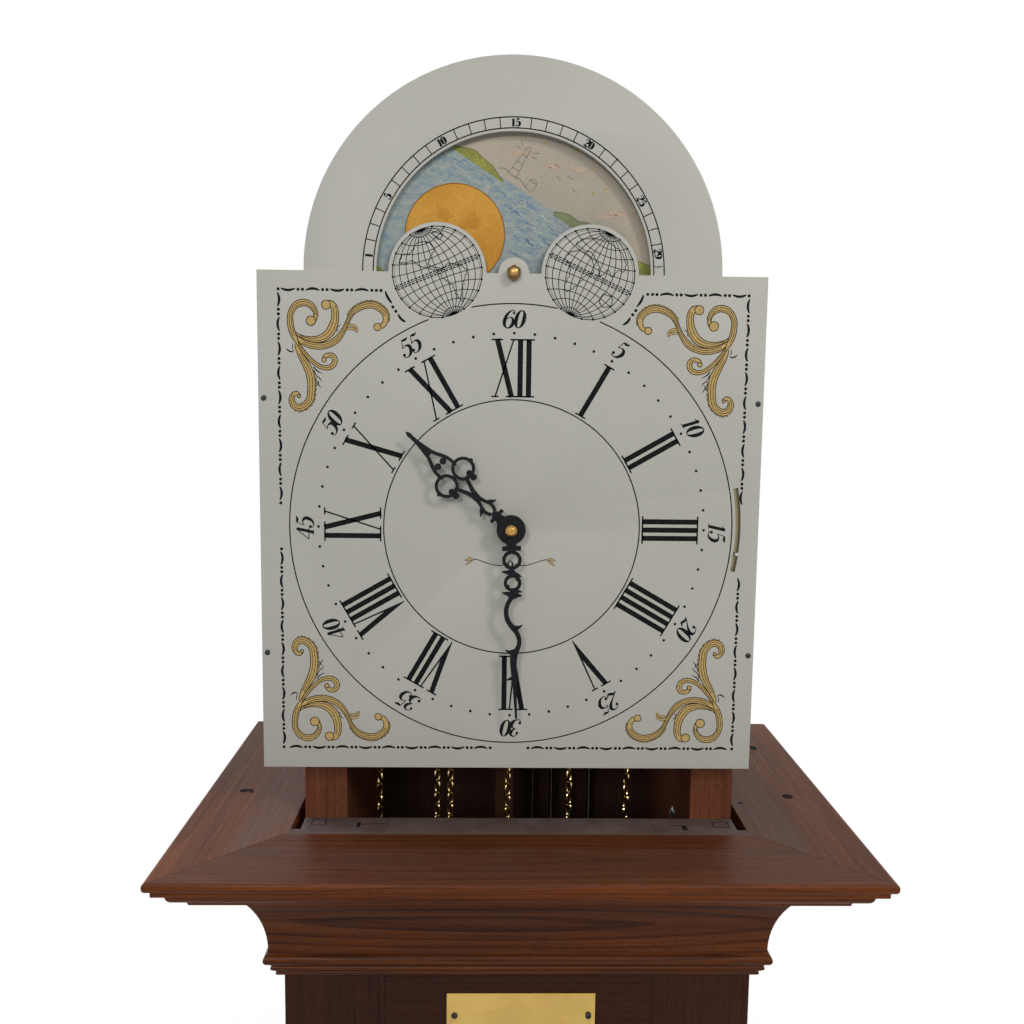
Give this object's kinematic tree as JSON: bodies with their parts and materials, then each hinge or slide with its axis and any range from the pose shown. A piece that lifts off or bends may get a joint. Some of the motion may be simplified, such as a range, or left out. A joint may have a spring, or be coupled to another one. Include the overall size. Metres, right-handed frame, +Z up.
{
  "type": "longcase clock",
  "caption": "Wooden longcase clock with its hood off: arched moon dial, pierced black hands, coved cornice, glazed door, chain-driven brass weights and a lens-bob pendulum.",
  "frame": {"origin": "on the floor, midway across the case and midway between the cornice's front edge and the back board's back face", "axes": "+Z up, -Y out of the dial and door towards a viewer, +X to that viewer's right"},
  "size_m": [0.3906, 0.2616, 1.8303],
  "materials": {
    "case_wood": "satin stained oak",
    "inner_wood": "plain dusty oak",
    "rod_wood": "varnished wood",
    "glass": "clear",
    "dial_paint": "printed satin silver white",
    "moon_paint": "printed matt",
    "hand_black": "black enamel",
    "polished_brass": "polished",
    "movement_brass": "brushed",
    "chain_brass": "dull",
    "steel": "brushed"
  },
  "bodies": {
    "case": {"back_board": "inner_wood", "side_board_left": "case_wood", "side_board_right": "case_wood", "stile_left": "case_wood", "stile_right": "case_wood", "top_rail": "case_wood", "bottom_rail": "case_wood", "cornice_front": "case_wood", "cornice_left": "case_wood", "cornice_right": "case_wood", "cove_front": "case_wood", "cove_left": "case_wood", "cove_right": "case_wood", "cheek_left": "inner_wood", "cheek_right": "inner_wood", "seat_board": "inner_wood", "brass_plate": "polished_brass", "base_front": "case_wood", "base_left": "case_wood", "base_right": "case_wood", "base_moulding": "case_wood", "hinge_case_leaf": "polished_brass", "dial_plate": "dial_paint", "moon_arbor": "polished_brass", "front_plate": "movement_brass", "back_plate": "movement_brass", "suspension_post": "movement_brass", "chain_strike_free": "chain_brass", "chain_time_free": "chain_brass", "chain_chime_free": "chain_brass", "chain_strike_drop": "chain_brass", "chain_time_drop": "chain_brass", "chain_chime_drop": "chain_brass", "chime_rods": "steel"},
    "door": {"door_frame": "case_wood", "door_glass": "glass", "door_knob": "polished_brass", "hinge_door_leaf": "polished_brass"},
    "minute": {"centre_arbor": "movement_brass", "minute_hand": "hand_black", "hand_nut": "polished_brass"},
    "hour": {"hour_wheel": "movement_brass", "hour_hand": "hand_black"},
    "moon": {"moon_disc": "moon_paint"},
    "escapement": {"escape_wheel": "movement_brass"},
    "anchor": {"anchor_crutch": "steel"},
    "lever": {"chime_lever": "steel"},
    "pendulum": {"pendulum_rod": "rod_wood"},
    "bob": {"pendulum_bob": "polished_brass"},
    "bob_nut": {"rating_nut": "polished_brass"},
    "weight_strike_body": {"weight_strike": "polished_brass"},
    "train_strike": {"great_wheel_strike": "movement_brass"},
    "weight_time_body": {"weight_time": "polished_brass"},
    "train_time": {"great_wheel_time": "movement_brass"},
    "weight_chime_body": {"weight_chime": "polished_brass"},
    "train_chime": {"great_wheel_chime": "movement_brass"},
    "hammer_1_body": {"hammer_1": "movement_brass"},
    "hammer_2_body": {"hammer_2": "movement_brass"},
    "hammer_3_body": {"hammer_3": "movement_brass"},
    "hammer_4_body": {"hammer_4": "movement_brass"}
  },
  "joints": [
    {"name": "door_swing", "type": "hinge", "parent": "case", "child": "door", "pos_m": [0.08952, -0.07352, 0.9], "axis": [0, 0, 1], "range_deg": [0, 105]},
    {"name": "minute_hand_turn", "type": "hinge", "parent": "case", "child": "minute", "pos_m": [-0.0075, -0.06, 1.57625], "axis": [0, 1, 0], "continuous": true},
    {"name": "hour_hand_turn", "type": "hinge", "parent": "case", "child": "hour", "pos_m": [-0.0075, -0.06, 1.57625], "axis": [0, 1, 0], "continuous": true},
    {"name": "moon_disc_turn", "type": "hinge", "parent": "case", "child": "moon", "pos_m": [-0.0075, -0.055, 1.716], "axis": [0, 1, 0], "continuous": true},
    {"name": "escape_wheel_turn", "type": "hinge", "parent": "case", "child": "escapement", "pos_m": [-0.0075, 0, 1.606], "axis": [0, 1, 0], "continuous": true},
    {"name": "pendulum_swing", "type": "hinge", "parent": "case", "child": "pendulum", "pos_m": [-0.0075, 0.038, 1.64], "axis": [0, 1, 0], "range_deg": [-2.5, 2.5]},
    {"name": "anchor_rock", "type": "hinge", "parent": "case", "child": "anchor", "pos_m": [-0.0075, 0, 1.64], "axis": [0, 1, 0], "range_deg": [-2.6, 2.6]},
    {"name": "bob_height", "type": "slide", "parent": "pendulum", "child": "bob", "axis": [0, 0, 1], "range_m": [-0.003, 0.003]},
    {"name": "rating_nut_turn", "type": "hinge", "parent": "bob", "child": "bob_nut", "pos_m": [-0.0075, 0.038, 0.58], "axis": [0, 0, 1], "range_deg": [-1545, 1545]},
    {"name": "chime_lever_move", "type": "hinge", "parent": "case", "child": "lever", "pos_m": [-0.0075, -0.046, 1.57625], "axis": [0, -1, 0], "range_deg": [-4, 16]},
    {"name": "strike_weight_rise", "type": "slide", "parent": "case", "child": "weight_strike_body", "axis": [0, 0, 1], "range_m": [0, 0.4], "deforming": ["chain_strike_drop"]},
    {"name": "strike_sprocket_turn", "type": "hinge", "parent": "case", "child": "train_strike", "pos_m": [-0.0685, -0.0095, 1.521], "axis": [0, 1, 0], "range_deg": [0, 1273.3]},
    {"name": "time_weight_rise", "type": "slide", "parent": "case", "child": "weight_time_body", "axis": [0, 0, 1], "range_m": [0, 0.4], "deforming": ["chain_time_drop"]},
    {"name": "time_sprocket_turn", "type": "hinge", "parent": "case", "child": "train_time", "pos_m": [-0.0242, -0.0095, 1.521], "axis": [0, 1, 0], "range_deg": [-1273.3, 0]},
    {"name": "chime_weight_rise", "type": "slide", "parent": "case", "child": "weight_chime_body", "axis": [0, 0, 1], "range_m": [0, 0.4], "deforming": ["chain_chime_drop"]},
    {"name": "chime_sprocket_turn", "type": "hinge", "parent": "case", "child": "train_chime", "pos_m": [0.0505, -0.0095, 1.521], "axis": [0, 1, 0], "range_deg": [-1273.3, 0]},
    {"name": "hammer_1_lift", "type": "hinge", "parent": "case", "child": "hammer_1_body", "pos_m": [0.0145, 0.036, 1.611], "axis": [-1, 0, 0], "range_deg": [0, 12], "stiffness_Nm_per_rad": 0.1, "springref_deg": -17.19},
    {"name": "hammer_2_lift", "type": "hinge", "parent": "case", "child": "hammer_2_body", "pos_m": [0.0285, 0.036, 1.611], "axis": [-1, 0, 0], "range_deg": [0, 12], "stiffness_Nm_per_rad": 0.1, "springref_deg": -17.19},
    {"name": "hammer_3_lift", "type": "hinge", "parent": "case", "child": "hammer_3_body", "pos_m": [0.0425, 0.036, 1.611], "axis": [-1, 0, 0], "range_deg": [0, 12], "stiffness_Nm_per_rad": 0.1, "springref_deg": -17.19},
    {"name": "hammer_4_lift", "type": "hinge", "parent": "case", "child": "hammer_4_body", "pos_m": [0.0565, 0.036, 1.611], "axis": [-1, 0, 0], "range_deg": [0, 12], "stiffness_Nm_per_rad": 0.1, "springref_deg": -17.19}
  ],
  "couplings": [
    {"joint": "hour_hand_turn", "follows": "minute_hand_turn", "ratio": 0.083333},
    {"joint": "moon_disc_turn", "follows": "minute_hand_turn", "ratio": 0.00070621},
    {"joint": "escape_wheel_turn", "follows": "minute_hand_turn", "ratio": 60},
    {"joint": "anchor_rock", "follows": "pendulum_swing", "ratio": 1},
    {"joint": "rating_nut_turn", "follows": "bob_height", "rad_per_m": 8976},
    {"joint": "strike_sprocket_turn", "follows": "strike_weight_rise", "rad_per_m": 55.556},
    {"joint": "time_sprocket_turn", "follows": "time_weight_rise", "rad_per_m": -55.556},
    {"joint": "chime_sprocket_turn", "follows": "chime_weight_rise", "rad_per_m": -55.556}
  ]
}
